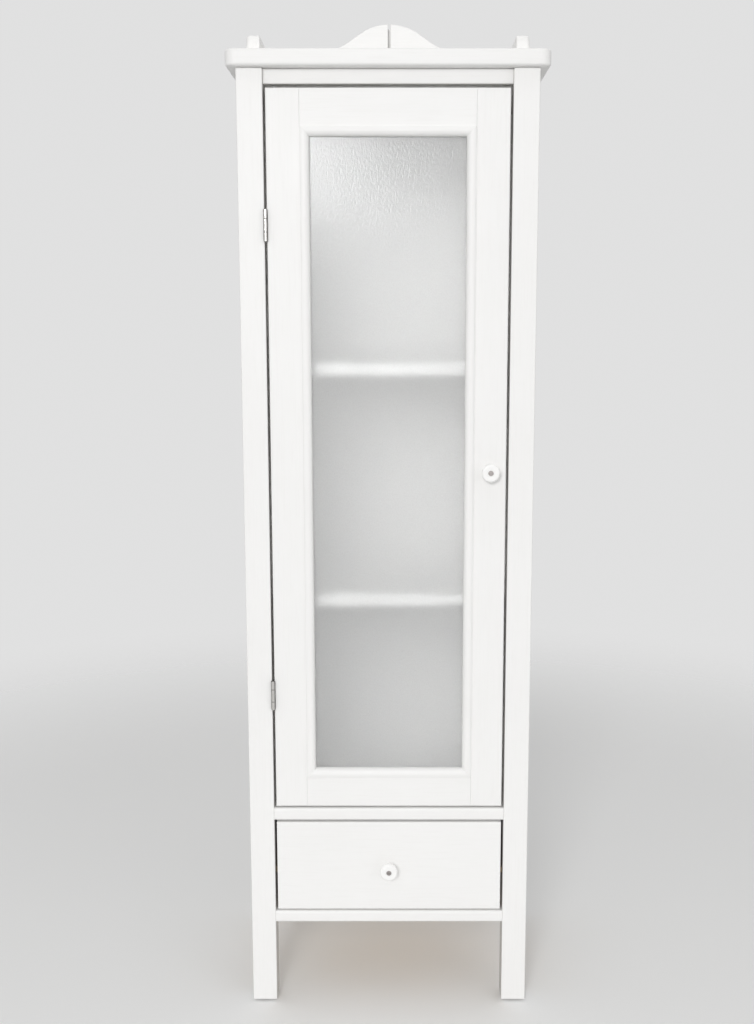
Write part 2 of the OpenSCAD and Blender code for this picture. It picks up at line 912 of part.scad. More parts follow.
// A leaf with its knuckles, drawn for the post; its plate starts behind the
// barrel and runs forward to the barrel only at its own knuckles
module leaf(spans) {
    plate_x = -door_gap / 2;
    difference() {
        union() {
            board([plate_x, hinge_out + leaf_start, -hinge_l / 2],
                [plate_x + leaf_t, hinge_out + leaf_d, hinge_l / 2]);
            for (s = spans) {
                board([plate_x, 0, s[0]], [plate_x + leaf_t, hinge_out + leaf_start, s[1]]);
                translate([0, 0, s[0]]) cylinder(r = hinge_r, h = s[1] - s[0]);
            }
        }
        cylinder(r = hinge_pin_r + hinge_pin_clear, h = hinge_l + 2 * past, center = true);
    }
}

module post_leaf(i) {
    color(nickel) difference() {
        translate([hinge_x, hinge_y, hinge_zs[i]]) leaf(end_spans);
        post_leaf_screws(fit);
    }
}

module door_leaf(i) {
    color(nickel) difference() {
        translate([hinge_x, hinge_y, hinge_zs[i]]) mirror([1, 0, 0]) leaf(middle_span);
        door_leaf_screws(fit);
    }
}

module hinge_upper_post_leaf() {
    post_leaf(0);
}

module hinge_lower_post_leaf() {
    post_leaf(1);
}

module hinge_upper_door_leaf() {
    door_leaf(0);
}

module hinge_lower_door_leaf() {
    door_leaf(1);
}

// Pins with a rounded button at each end of the barrel
module hinge_pins() {
    color(nickel) for (z = hinge_zs) translate([hinge_x, hinge_y, z]) {
        cylinder(r = hinge_pin_r, h = hinge_l + 2 * pin_shoulder, center = true);
        for (end = [0, 1]) mirror([0, 0, end]) translate([0, 0, hinge_l / 2])
            rotate_extrude() intersection() {
                square([pin_button_r, pin_button_h]);
                translate([0, pin_button_h - pin_button_r]) circle(pin_button_r);
            }
    }
}

module hinge_post_screws() {
    color(nickel) post_leaf_screws(0);
}

// ---- door frame and glazing ----

module stile() {
    color(paint) difference() {
        board([pane_half_w, front_y, door_z], [door_half_w, door_back_y, door_top_z]);
        door_frame_dowels(fit);
        children();
    }
}

module door_stile_left() {
    mirror([1, 0, 0]) stile() mirror([1, 0, 0]) door_leaf_screws(fit);
}

module door_stile_right() {
    stile() {
        strike_screw(fit);
        knob_screw_hole(knob_x, knob_z);
    }
}

module door_rail(z0, z1) {
    color(paint) difference() {
        board([-pane_half_w, front_y, z0], [pane_half_w, door_back_y, z1]);
        door_frame_dowels(fit);
    }
}

module door_rail_top() {
    door_rail(pane_top_z, door_top_z);
}

module door_rail_bottom() {
    door_rail(door_z, pane_z);
}

module door_dowels() {
    color(beech) door_frame_dowels(0);
}

// Section of the bead: the first axis runs back from the door's front face,
// the second from the frame's edge towards the glass
module bead_section() {
    difference() {
        translate([-bead_proud, 0]) square([bead_proud + glass_set, bead_w]);
        translate([-bead_proud - past, -past])
            square([0.7 * bead_step + past, bead_step + past]);
        translate([-bead_proud, bead_w - bead_r]) difference() {
            translate([-past, 0]) square([bead_r + past, bead_r + past]);
            translate([bead_r, 0]) circle(bead_r);
        }
    }
}

// A length of bead along X with mitred ends, its outer edge at the origin
// and its inner edge above
module bead(l) {
    long = l / 2;
    short = long - bead_w;
    color(paint) intersection() {
        rotate([90, 0, 90]) linear_extrude(l, center = true) bead_section();
        translate([0, glass_set + past, 0]) rotate([90, 0, 0])
            linear_extrude(bead_proud + glass_set + 2 * past)
                polygon([[-long, 0], [long, 0], [short, bead_w], [-short, bead_w]]);
    }
}

pane_w = 2 * pane_half_w;
pane_h = pane_top_z - pane_z;
pane_mid_z = (pane_z + pane_top_z) / 2;

module bead_top() {
    translate([0, front_y, pane_top_z]) mirror([0, 0, 1]) bead(pane_w);
}

module bead_bottom() {
    translate([0, front_y, pane_z]) bead(pane_w);
}

module bead_left() {
    translate([-pane_half_w, front_y, pane_mid_z]) rotate([0, 90, 0]) bead(pane_h);
}

module bead_right() {
    translate([pane_half_w, front_y, pane_mid_z]) rotate([0, -90, 0]) bead(pane_h);
}

module glass_pane() {
    x = pane_half_w - glass_clear;
    color(obscure) board([-x, glass_y, pane_z + glass_clear],
        [x, glass_back_y, pane_top_z - glass_clear]);
}

// Two long strips behind the glass with two short ones between them
module glass_retainers() {
    short = pane_half_w - retainer_w - retainer_gap;
    color(paint) {
        both_sides() board([pane_half_w - retainer_w, glass_back_y, pane_z],
            [pane_half_w, door_back_y, pane_top_z]);
        for (z = [pane_z, pane_top_z - retainer_w])
            board([-short, glass_back_y, z], [short, door_back_y, z + retainer_w]);
    }
}

module door_fitting_screws() {
    color(nickel) {
        door_leaf_screws(0);
        strike_screw(0);
    }
}

module strike_plate() {
    color(zinc) difference() {
        board([strike_x - strike_w, door_back_y, catch_z - catch_l / 2],
            [strike_x, door_back_y + strike_t, catch_z + catch_l / 2]);
        strike_screw(fit);
    }
}

// ---- knobs ----

// Half section of a knob: radius, then distance from the face that it is on
module knob_section() {
    head_y = knob_l - knob_head;
    rim_x = knob_d / 2 - knob_rim;
    difference() {
        union() {
            square([knob_foot_d / 2, knob_foot_h]);
            square([knob_neck_d / 2, knob_l - knob_rim]);
            translate([0, head_y]) square([rim_x, knob_head]);
            translate([0, head_y + knob_rim]) square([knob_d / 2, knob_head - 2 * knob_rim]);
            for (y = [head_y + knob_rim, knob_l - knob_rim])
                translate([rim_x, y]) circle(knob_rim);
        }
        translate([0, knob_l + knob_dish_r - knob_dish_deep]) circle(knob_dish_r, $fn = 360);
        translate([-past, knob_l - knob_sink])
            square([knob_sink_d / 2 + past, knob_sink + past]);
        translate([-past, -past]) square([knob_screw_d / 2 + fit + past, knob_l + 2 * past]);
    }
}

module knob(x, z) {
    color(paint) translate([x, front_y, z]) rotate([90, 0, 0])
        rotate_extrude() intersection() {
            knob_section();
            square([knob_d, knob_l]);
        }
}

module knob_screw(x, z) {
    head_y = knob_l - knob_sink;
    color(zinc) translate([x, front_y, z]) rotate([90, 0, 0]) difference() {
        union() {
            translate([0, 0, head_y]) cylinder(d = knob_screw_head_d, h = knob_screw_head_t);
            translate([0, 0, -knob_screw_bite])
                cylinder(d = knob_screw_d, h = knob_screw_bite + head_y);
        }
        translate([0, 0, head_y + knob_screw_head_t]) mirror([0, 0, 1])
            cross_recess(0.6 * knob_screw_head_d, knob_screw_head_t / 2);
    }
}

module door_knob() {
    knob(knob_x, knob_z);
}

module door_knob_screw() {
    knob_screw(knob_x, knob_z);
}

module drawer_knob() {
    knob(0, drawer_knob_z);
}

module drawer_knob_screw() {
    knob_screw(0, drawer_knob_z);
}

// ---- drawer ----

// Space that the drawer's bottom fills, or its grooves with the clearance
module bottom_slot(spare) {
    x = drawer_in_x + drawer_groove;
    back = drawer_end_y + (spare > 0 ? past : 0);
    board([-x - spare, drawer_front_back_y - drawer_groove - spare, drawer_bottom_z - spare],
        [x + spare, back, drawer_bottom_z + drawer_bottom_t + spare]);
}

module drawer_front() {
    color(paint) difference() {
        board([-drawer_front_half_w, front_y, drawer_front_z],
            [drawer_front_half_w, drawer_front_back_y, drawer_front_top]);
        bottom_slot(bottom_clear);
        drawer_box_dowels(fit);
        knob_screw_hole(0, drawer_knob_z);
    }
}

module drawer_side() {
    color(pine) difference() {
        board([drawer_in_x, drawer_front_back_y, drawer_side_z],
            [drawer_half_w, drawer_end_y, drawer_side_top]);
        bottom_slot(bottom_clear);
        board([runner_tip_x - runner_tip_gap, drawer_front_back_y - past, runner_z - runner_clear],
            [drawer_half_w + past, drawer_end_y + past, runner_z + runner_h + runner_clear]);
        drawer_box_dowels(fit);
    }
}

module drawer_side_left() {
    mirror([1, 0, 0]) drawer_side();
}

module drawer_side_right() {
    drawer_side();
}

module drawer_back() {
    z = drawer_bottom_z + drawer_bottom_t + bottom_clear;
    color(pine) difference() {
        board([-drawer_in_x, drawer_back_y, z], [drawer_in_x, drawer_end_y, drawer_side_top]);
        drawer_box_dowels(fit);
    }
}

module drawer_bottom() {
    color(pine) bottom_slot(0);
}

module drawer_dowels() {
    color(beech) drawer_box_dowels(0);
}

// ---- one line for each piece ----

post_front_left();
post_front_right();
post_rear_left();
post_rear_right();
foot_glides();
side_panel_left();
side_panel_right();
back_panel();
back_panel_screws();
top_rail();
middle_rail();
bottom_rail();
rear_rail_top();
rear_rail_middle();
rear_rail_bottom();
cabinet_floor();
top_board();
top_board_screws();
gallery_left();
gallery_right();
crest_left();
crest_right();
carcass_dowels();
shelf_upper();
shelf_lower();
shelf_pins();
drawer_runner_left();
drawer_runner_right();
magnetic_catch();
fitting_screws();
hinge_upper_post_leaf();
hinge_lower_post_leaf();
hinge_pins();
hinge_post_screws();
door_stile_left();
door_stile_right();
door_rail_top();
door_rail_bottom();
door_dowels();
bead_top();
bead_bottom();
bead_left();
bead_right();
glass_pane();
glass_retainers();
hinge_upper_door_leaf();
hinge_lower_door_leaf();
door_fitting_screws();
strike_plate();
door_knob();
door_knob_screw();
drawer_front();
drawer_side_left();
drawer_side_right();
drawer_back();
drawer_bottom();
drawer_dowels();
drawer_knob();
drawer_knob_screw();
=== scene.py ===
# A tall bathroom cabinet in white satin paint: four square posts, a glazed door
# over a drawer, two shelves inside, and a low gallery with a split crest on top.
import json
import math

import bmesh
import bpy
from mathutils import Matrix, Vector, noise


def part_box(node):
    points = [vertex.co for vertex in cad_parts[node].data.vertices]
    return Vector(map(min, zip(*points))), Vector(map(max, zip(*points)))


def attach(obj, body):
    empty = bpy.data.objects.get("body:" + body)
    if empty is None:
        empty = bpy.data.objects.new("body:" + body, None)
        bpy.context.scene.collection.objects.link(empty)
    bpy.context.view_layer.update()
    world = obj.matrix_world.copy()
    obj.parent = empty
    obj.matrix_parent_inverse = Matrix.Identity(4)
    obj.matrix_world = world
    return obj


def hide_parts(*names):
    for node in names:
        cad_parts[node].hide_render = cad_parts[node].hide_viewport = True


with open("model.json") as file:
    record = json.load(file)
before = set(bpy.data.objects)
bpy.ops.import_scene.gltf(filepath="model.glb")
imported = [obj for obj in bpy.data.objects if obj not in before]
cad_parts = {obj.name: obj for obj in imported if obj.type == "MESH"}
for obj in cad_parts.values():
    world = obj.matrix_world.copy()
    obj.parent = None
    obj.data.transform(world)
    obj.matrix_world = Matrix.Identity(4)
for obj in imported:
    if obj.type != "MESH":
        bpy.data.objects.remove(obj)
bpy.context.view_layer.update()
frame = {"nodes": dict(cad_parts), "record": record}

# ---- Posts ----
# Four square posts of solid pine, from the glides up to the top board, sanded
# round and painted white. The rear pair is rebated. The front pair has a matt
# coat on the faces that close the door's gaps, its colour darkened as painted shade.

WHITE = (0.90, 0.895, 0.885)
SHADED_WHITE = (0.865, 0.857, 0.842)
# Darker whites: painted shade on the faces in the door's gaps and under the shelves and the top rail.
PAINTED_SHADE_WHITE = (0.62, 0.61, 0.595)
PAINTED_SHADE_GRAIN_WHITE = (0.55, 0.54, 0.525)
SATIN_DULL = 0.44
SATIN_SHINE = 0.45
MATT_DULL = 0.8
MATT_SHINE = 0
FACES = {"left": (0, 0), "right": (0, 1), "front": (1, 0), "back": (1, 1), "bottom": (2, 0), "top": (2, 1)}
ROUND_STEPS = 4
GRAIN = {"upright": (1, 1, 0.04), "across": (0.04, 1, 1), "deep": (1, 0.04, 1)}
BODY_OF = {node: body for body, nodes in frame["record"]["behaviour"]["bodies"].items() for node in nodes}
NEAR = 0.00001
STRAIGHT = 0.9
FLAT = math.radians(0.5)
SHARP = math.radians(30)


class Reading:
    """What one node gives out. Arithmetic on it adds Math nodes."""

    def __init__(self, recipe, socket):
        self.recipe = recipe
        self.socket = socket

    def __add__(self, other):
        return self.recipe.maths("ADD", self, other)

    def __sub__(self, other):
        return self.recipe.maths("SUBTRACT", self, other)

    def __rsub__(self, other):
        return self.recipe.maths("SUBTRACT", other, self)

    def __mul__(self, other):
        return self.recipe.maths("MULTIPLY", self, other)

    def __abs__(self):
        return self.recipe.maths("ABSOLUTE", self)

    __radd__ = __add__
    __rmul__ = __mul__


class Recipe:
    """The nodes that make a new material, or those of a holder that is there already."""

    def __init__(self, name, holder=None):
        self.holder = holder or bpy.data.materials.new(name)
        self.holder.use_nodes = True
        self.tree = self.holder.node_tree
        self.tree.nodes.clear()

    def add(self, kind, settings=None, sockets=None, output=0):
        """One node of a kind: its settings first, then the values or links of its sockets."""
        node = self.tree.nodes.new("ShaderNode" + kind)
        for name, value in (settings or {}).items():
            if name == "stops":
                ramp = node.color_ramp.elements
                while len(ramp) < len(value):
                    ramp.new(0.5)
                for element, (place, level) in zip(ramp, value):
                    element.position = place
                    element.color = (level, level, level, 1)
            else:
                setattr(node, name, value)
        for name, value in (sockets or {}).items():
            if isinstance(value, Reading):
                self.tree.links.new(value.socket, node.inputs[name])
            else:
                node.inputs[name].default_value = value
        return Reading(self, node.outputs[output] if node.outputs else None)

    def maths(self, operation, *values):
        """One Math node on its values."""
        return self.add("Math", {"operation": operation}, dict(enumerate(values)))

    def place(self, scale=(1, 1, 1)):
        """A point of the piece in metres, stretched where the scale is small."""
        point = self.add("TexCoord", output="Object")
        return self.add("Mapping", {}, {"Vector": point, "Scale": scale})

    def noise(self, place, scale, detail=3, rough=0.5, swirl=0):
        """Cloudy noise from 0 to 1, with about that many clouds to the metre."""
        values = {"Vector": place, "Scale": scale, "Detail": detail, "Roughness": rough, "Distortion": swirl}
        return self.add("TexNoise", {}, values)

    def steps(self, value, *stops):
        """The value read off a ramp of (place, level) stops."""
        return self.add("ValToRGB", {"stops": stops}, {"Fac": value})

    def tint(self, share, first, second):
        """One colour turning into another."""
        sockets = {"Factor": share}
        for name, colour in ((6, first), (7, second)):
            sockets[name] = colour if isinstance(colour, Reading) else (*colour, 1)
        return self.add("Mix", {"data_type": "RGBA"}, sockets, output=2)

    def bump(self, height, depth, under=None):
        """A surface raised by a height from 0 to 1 times a depth in metres."""
        sockets = {"Height": height, "Distance": depth, "Strength": 1}
        if under:
            sockets["Normal"] = under
        return self.add("Bump", {}, sockets)

    def shader(self, **sockets):
        """The main shader, its sockets written in small letters."""
        names = {name: name.replace("_", " ").title().replace("Ior", "IOR") for name in sockets}
        return self.add("BsdfPrincipled", {}, {names[name]: value for name, value in sockets.items()})

    def done(self, shader):
        """The finished material."""
        self.add("OutputMaterial", {}, {"Surface": shader})
        return self.holder


fibres_per_metre = 420
figures_per_metre = 70
brush_marks_per_metre = 900
patches_per_metre = 6
grain_deep = 0.00022
brush_deep = 0.00004


def painted(along, name="white_paint_", pale=WHITE, shaded=SHADED_WHITE, dull=SATIN_DULL, shine=SATIN_SHINE):
    """Paint, brushed and rolled over pine whose grain runs one way."""
    made = Recipe(name + along)
    grain = made.noise(made.place(GRAIN[along]), fibres_per_metre, detail=5, rough=0.62)
    figure = made.noise(made.place(GRAIN[along]), figures_per_metre, detail=2, swirl=0.4)
    coat = made.noise(made.place(), brush_marks_per_metre, detail=2)
    patches = made.noise(made.place(), patches_per_metre, detail=3)
    lines = made.steps(grain, (0.36, 1), (0.5, 0))
    shade = lines * 0.35 + made.steps(patches, (0.4, 0), (0.75, 1)) * 0.4
    relief = made.bump(grain * 0.6 + figure * 0.9, grain_deep)
    relief = made.bump(coat, brush_deep, relief)
    gloss = dull + patches * 0.1 + lines * 0.06
    return made.done(made.shader(
        base_color=made.tint(shade, pale, shaded), roughness=gloss, normal=relief,
        specular_ior_level=shine))


def welded(node):
    """A node's own shape as one closed mesh, its flat faces made whole."""
    shape = bmesh.new()
    shape.from_mesh(frame["nodes"][node].data)
    bmesh.ops.remove_doubles(shape, verts=shape.verts, dist=NEAR / 2)
    bmesh.ops.dissolve_limit(shape, angle_limit=FLAT, verts=shape.verts, edges=shape.edges)
    return shape


def block(low, high):
    """A plain block between two corners."""
    shape = bmesh.new()
    bmesh.ops.create_cube(shape, size=1)
    for corner in shape.verts:
        corner.co = [(high if corner.co[way] > 0 else low)[way] for way in range(3)]
    return shape


def ease(shape, *cuts):
    """Rounds sharp edges. A cut is a radius and the edges that it takes: the names of two
    outer faces that meet there, or a test of an edge."""
    spots = list(zip(*(corner.co for corner in shape.verts)))
    ends = [(min(along), max(along)) for along in spots]

    def meets(edge, names):
        middle = (edge.verts[0].co + edge.verts[1].co) / 2
        return all(abs(middle[way] - ends[way][end]) < NEAR for way, end in map(FACES.get, names.split()))

    for radius, *takes in cuts:
        sharp = [edge for edge in shape.edges if edge.calc_face_angle() > SHARP]
        taken = [edge for edge in sharp
                 if any(take(edge) if callable(take) else meets(edge, take) for take in takes)]
        bmesh.ops.bevel(
            shape, geom=taken, offset=radius, offset_type="OFFSET", segments=ROUND_STEPS, profile=0.5,
            affect="EDGES")
    return shape


def stand(name, shape, material, body):
    """A piece made of a shape, smooth over its rounded edges, riding on a body."""
    mesh = bpy.data.meshes.new(name)
    shape.to_mesh(mesh)
    shape.free()
    mesh.shade_smooth()
    mesh.set_sharp_from_angle(angle=SHARP)
    mesh.materials.append(material)
    piece = bpy.data.objects.new(name, mesh)
    bpy.context.scene.collection.objects.link(piece)
    piece.modifiers.new("flat_faces", "WEIGHTED_NORMAL").keep_sharp = True
    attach(piece, body)
    return piece


def drilled(node, blank):
    """A blank cut with every hole, rebate and groove that the node has."""
    shapes = [blank, welded(node)]
    meshes = [bpy.data.meshes.new(node + "_cut") for shape in shapes]
    cutters = []
    for shape, mesh in zip(shapes, meshes):
        shape.to_mesh(mesh)
        shape.free()
        cutters.append(bpy.data.objects.new(mesh.name, mesh))
        bpy.context.scene.collection.objects.link(cutters[-1])
    cut = cutters[0].modifiers.new("cut", "BOOLEAN")
    cut.operation = "INTERSECT"
    cut.solver = "EXACT"
    cut.object = cutters[1]
    ready = cutters[0].evaluated_get(bpy.context.evaluated_depsgraph_get())
    result = bmesh.new()
    result.from_mesh(ready.to_mesh())
    for cutter in cutters:
        bpy.data.objects.remove(cutter)
    return result


def eased(node, material, *cuts, blank=None, slot="white_paint"):
    """A board with its holes and with some of its outer edges rounded, in a node's place."""
    shape = drilled(node, ease(blank or block(*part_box(node)), *cuts))
    piece = stand(node + "_eased", shape, material, BODY_OF[node])
    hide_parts(node)
    return piece


def recoat(piece, way, sign, material):
    """Gives the faces of a piece that look along an axis, one way, a material of their own."""
    piece.data.materials.append(material)
    for face in piece.data.polygons:
        if face.normal[way] * sign > STRAIGHT:
            face.material_index = 1


paint = {along: painted(along) for along in GRAIN}
# A matt coat whose colour is darkened as painted shade.
matt_painted_shade = {along: painted(along, "thin_paint_", PAINTED_SHADE_WHITE, PAINTED_SHADE_GRAIN_WHITE, MATT_DULL, MATT_SHINE)
              for along in ("upright", "across")}
top_ease = 0.003
foot_ease = 0.0015
sides = ("front", "back", "left", "right")
inward = {"post_front_left": 1, "post_front_right": -1}
for node in ("post_front_left", "post_front_right", "post_rear_left", "post_rear_right"):
    post = eased(node, paint["upright"], (top_ease, *(side + " top" for side in sides)),
                 (foot_ease, *(side + " bottom" for side in sides)))
    if node in inward:
        recoat(post, 0, inward[node], matt_painted_shade["upright"])

# ---- Glides ----
# Four black nylon discs under the posts, each moulded with its nail and
# knocked into the end grain. They are scuffed where they slide on the floor.


def dress(node, material):
    """Gives a node that keeps its own shape its finish."""
    frame["nodes"][node].material_slots[0].material = material


pits_per_metre = 2600
scuffs_per_metre = 600
scuffed_way = (1, 0.25, 1)
pit_deep = 0.00003


def moulded(name, colour, scuffed):
    """Moulded plastic with a fine spark-eroded skin and some scuffs."""
    made = Recipe(name)
    skin = made.noise(made.place(), pits_per_metre, detail=2)
    marks = made.noise(made.place(scuffed_way), scuffs_per_metre, detail=4)
    scuffs = made.steps(marks, (0.52, 0), (0.68, 1))
    return made.done(made.shader(
        base_color=made.tint(scuffs * 0.5, colour, scuffed), roughness=0.42 + scuffs * 0.25,
        normal=made.bump(skin, pit_deep)))


dress("foot_glides", moulded("black_nylon", colour=(0.02, 0.02, 0.021), scuffed=(0.10, 0.10, 0.10)))

# ---- Side and back panels ----
# Two pine side panels dowelled between the posts, and a thin board that closes
# the back, screwed into the rear posts' rebates and into the rear rails.

side_ease = 0.001
back_ease = 0.0006
for node in ("side_panel_left", "side_panel_right"):
    eased(node, paint["upright"], (side_ease, "left bottom", "right bottom"))
eased("back_panel", paint["upright"], (back_ease, "back top", "back bottom", "back left", "back right"))

drawn_lines_per_metre = 2500
handled_spots_per_metre = 220
drawn_deep = 0.00002


def metal(name, colour, dull, roughness, along=(1, 1, 1), dirt_and_shade=None):
    """Plated metal, with fine drawn lines and duller patches where it is handled. A dirt_and_shade
    takes the recipe, the plating and its gloss, and gives both back darkened in places by dirt or painted
    shade."""
    made = Recipe(name)
    drawn = made.noise(made.place(along), drawn_lines_per_metre, detail=3)
    patches = made.noise(made.place(), handled_spots_per_metre, detail=3)
    worn = made.steps(patches, (0.42, 0), (0.7, 1))
    plate = made.tint(worn * 0.6, colour, dull)
    gloss = roughness + worn * 0.15 + drawn * 0.08
    if dirt_and_shade:
        plate, gloss = dirt_and_shade(made, plate, gloss)
    return made.done(made.shader(
        base_color=plate, metallic=1, roughness=gloss, normal=made.bump(drawn, drawn_deep)))


zinc = metal("bright_zinc", colour=(0.62, 0.63, 0.64), dull=(0.42, 0.43, 0.45), roughness=0.3)
dress("back_panel_screws", zinc)

# ---- Rails ----
# Pine rails dowelled between the posts. The three in front frame the door and
# the drawer, with rounded front edges; the three behind stiffen the back. The
# rail over the door has a matt coat underneath, darkened as painted shade where the door closes.

rail_round = 0.004
soft_round = 0.0025
rail_end = 0.0012
front_edges = ("front top", "front bottom")
back_edges = ("back top", "back bottom")
end_edges = ("front left", "front right")
top_rail = eased("top_rail", paint["across"], (soft_round, "front bottom"), (top_ease, "front top"),
                 (rail_end, *back_edges))
recoat(top_rail, 2, -1, matt_painted_shade["across"])
for node in ("middle_rail", "bottom_rail"):
    eased(node, paint["across"], (rail_round, *front_edges), (rail_end, *end_edges, "back bottom"))
for node in ("rear_rail_top", "rear_rail_middle", "rear_rail_bottom"):
    eased(node, paint["across"], (rail_end, *front_edges, *back_edges))

# ---- Cabinet floor ----
# A pine board under the glazed compartment. Its front edge lies in the middle
# rail's rebate and its back edge on the rear rail.

floor_ease = 0.0005
eased("cabinet_floor", paint["across"], (floor_ease, "front top", "back top"))

# ---- Top board ----
# A thick pine board that overhangs the posts in front and at the sides. Its
# front corners are cut round, and its edges are rounded over top and bottom.

corner_round = 0.016
over_round = 0.004
corner_steps = 10


def up(edge):
    """A test for the edges round the upper side."""
    return any(face.normal.z > STRAIGHT for face in edge.link_faces)


def down(edge):
    """A test for the edges round the underside."""
    return any(face.normal.z < -STRAIGHT for face in edge.link_faces)


def rounded_corner(middle_x, middle_y, start):
    """Points round a quarter circle, from an angle in degrees."""
    turns = [math.radians(start + 90 * step / corner_steps) for step in range(corner_steps + 1)]
    return [(middle_x + corner_round * math.cos(turn), middle_y + corner_round * math.sin(turn))
            for turn in turns]


def slab(outline, bottom, top):
    """A flat board with an outline in plan, walked anticlockwise seen from above."""
    shape = bmesh.new()
    face = shape.faces.new([shape.verts.new((x, y, bottom)) for x, y in outline])
    raised = bmesh.ops.extrude_face_region(shape, geom=[face])["geom"]
    for part in raised:
        if isinstance(part, bmesh.types.BMVert):
            part.co.z = top
    bmesh.ops.recalc_face_normals(shape, faces=shape.faces)
    return shape


low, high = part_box("top_board")
plan = [(high.x, high.y), (low.x, high.y)]
plan += rounded_corner(low.x + corner_round, low.y + corner_round, 180)
plan += rounded_corner(high.x - corner_round, low.y + corner_round, 270)
eased("top_board", paint["across"], (over_round, up, down), blank=slab(plan, low.z, high.z))
dress("top_board_screws", zinc)

# ---- Gallery and crest ----
# Two low side boards that sweep up to the back, and a crest in two halves with
# a slit between them. They are sawn from pine, sanded round and dowelled down.

outer_round = 0.005
inner_round = 0.002
slit_round = 0.0008
lean = 0.08


def shaped(node, material, *cuts, shape=None):
    """A board with an outline of its own, with some of its edges rounded."""
    piece = stand(node + "_eased", ease(shape or welded(node), *cuts), material, BODY_OF[node])
    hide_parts(node)
    return piece


def leaning(node, outward):
    """A side board whose outer face leans in a little towards the top."""
    shape = welded(node)
    low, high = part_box(node)
    outer = (low if outward < 0 else high).x
    for corner in shape.verts:
        if abs(corner.co.x - outer) < NEAR:
            corner.co.x -= outward * lean * (corner.co.z - low.z)
    return shape


def along_side(side, *others):
    """A test for the edges where a flat side of a board meets any other face, but not the
    faces that look in some other directions. A direction is an axis and a sign."""
    def looks(face, direction):
        return face.normal[direction[0]] * direction[1] > STRAIGHT

    def test(edge):
        return (any(looks(face, side) for face in edge.link_faces)
                and not any(looks(face, other) for face in edge.link_faces for other in others))
    return test


foot = (2, -1)
front, back = (1, -1), (1, 1)
for side, outward in (("left", -1), ("right", 1)):
    outer, inner = (0, outward), (0, -outward)
    shaped("gallery_" + side, paint["deep"],
           (outer_round, along_side(outer, foot, back, inner)), (inner_round, along_side(inner, foot, back)),
           shape=leaning("gallery_" + side, outward))
    shaped("crest_" + side, paint["across"],
           (inner_round, along_side(front, foot, inner), along_side(back, foot, inner)),
           (slit_round, along_side(inner, foot)))

filler_down = 0.006
filler_thick = 0.004
filler_back = 0.004
left_low, left_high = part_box("crest_left")
right_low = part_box("crest_right")[0]
filler = block((left_high.x, left_high.y - filler_back - filler_thick, left_low.z),
               (right_low.x, left_high.y - filler_back, left_high.z - filler_down))
stand("crest_filler", filler, paint["upright"], "root")

# ---- Dowels ----
# Fluted beech dowels glued into every fixed joint of the cabinet, hidden once
# the joints are closed.

pores_per_metre = 900
wood_deep = 0.00012


def wooden(name, pale, dark, swells, rings_each, along, roughness):
    """Bare lacquered wood: growth rings stretched along the grain, and pores. Its figure
    swells that often in a metre, with a few rings to each swell."""
    made = Recipe(name)
    place = made.place(GRAIN[along])
    figure = made.noise(place, swells, detail=2, swirl=0.6)
    rings = made.maths("FRACT", figure * rings_each)
    late = made.steps(rings, (0.0, 0.1), (0.75, 0.55), (0.92, 1), (1.0, 0.1))
    fibre = made.noise(place, pores_per_metre, detail=4, rough=0.65)
    pores = made.steps(fibre, (0.34, 1), (0.44, 0))
    shade = late * 0.6 + pores * 0.25 + fibre * 0.2
    return made.done(made.shader(
        base_color=made.tint(shade, pale, dark), roughness=roughness + pores * 0.15,
        normal=made.bump(fibre * 0.7 + late * 0.3, wood_deep)))


beech = wooden("steamed_beech", pale=(0.66, 0.47, 0.29), dark=(0.47, 0.29, 0.155), swells=90,
               rings_each=3, along="across", roughness=0.5)
dress("carcass_dowels", beech)

# ---- Shelves ----
# Two loose pine shelves behind the glass, each lying on four steel pins that
# are pushed into the side panels. Their undersides have a matt coat, darkened as painted shade.

for node in ("shelf_upper", "shelf_lower"):
    shelf = eased(node, paint["across"], (soft_round, *front_edges), (rail_end, *end_edges, *back_edges))
    recoat(shelf, 2, -1, matt_painted_shade["across"])
dress("shelf_pins", zinc)

# ---- Runners and catch ----
# Pine strips screwed to the posts and side panels, on which the drawer's grooves
# slide, and a magnetic catch: a white case that holds a magnet between two poles.

pine = {along: wooden("lacquered_pine_" + along, pale=(0.78, 0.60, 0.38), dark=(0.60, 0.38, 0.19),
                      swells=28, rings_each=5, along=along, roughness=0.42)
        for along in GRAIN}
runner_ease = 0.0012
long_edges = ("left top", "right top", "left bottom", "right bottom")
for node in ("drawer_runner_left", "drawer_runner_right"):
    eased(node, pine["deep"], (runner_ease, *front_edges, *back_edges, *long_edges), slot="pine")

case_ease = 0.001
pole_ease = 0.0002
pole_out = 0.002
pole_thick = 0.0014
pole_inset = 0.0035
pole_margin = 0.006
low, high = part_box("magnetic_catch")
case = block(low + Vector((0, pole_out, 0)), high)
white_plastic = moulded("white_plastic", colour=(0.83, 0.83, 0.81), scuffed=(0.70, 0.69, 0.66))
every_edge = (*front_edges, *back_edges, *long_edges, *end_edges, "back left", "back right")
eased("magnetic_catch", white_plastic, (case_ease, *every_edge), blank=case, slot="white_plastic")
steel = metal("pole_steel", colour=(0.55, 0.55, 0.56), dull=(0.36, 0.36, 0.37), roughness=0.34)
ferrite = moulded("ferrite", colour=(0.05, 0.05, 0.052), scuffed=(0.12, 0.12, 0.12))
pole_x = (low.x + pole_inset, high.x - pole_inset - pole_thick)
for side, x in zip(("left", "right"), pole_x):
    pole = ease(block((x, low.y, low.z + pole_margin),
                      (x + pole_thick, low.y + pole_out, high.z - pole_margin)), (pole_ease, *every_edge))
    stand("catch_pole_" + side, pole, steel, "root")
magnet = block((pole_x[0] + pole_thick, low.y + pole_out / 2, low.z + pole_margin),
               (pole_x[1], low.y + pole_out, high.z - pole_margin))
stand("catch_magnet", magnet, ferrite, "root")
dress("fitting_screws", zinc)
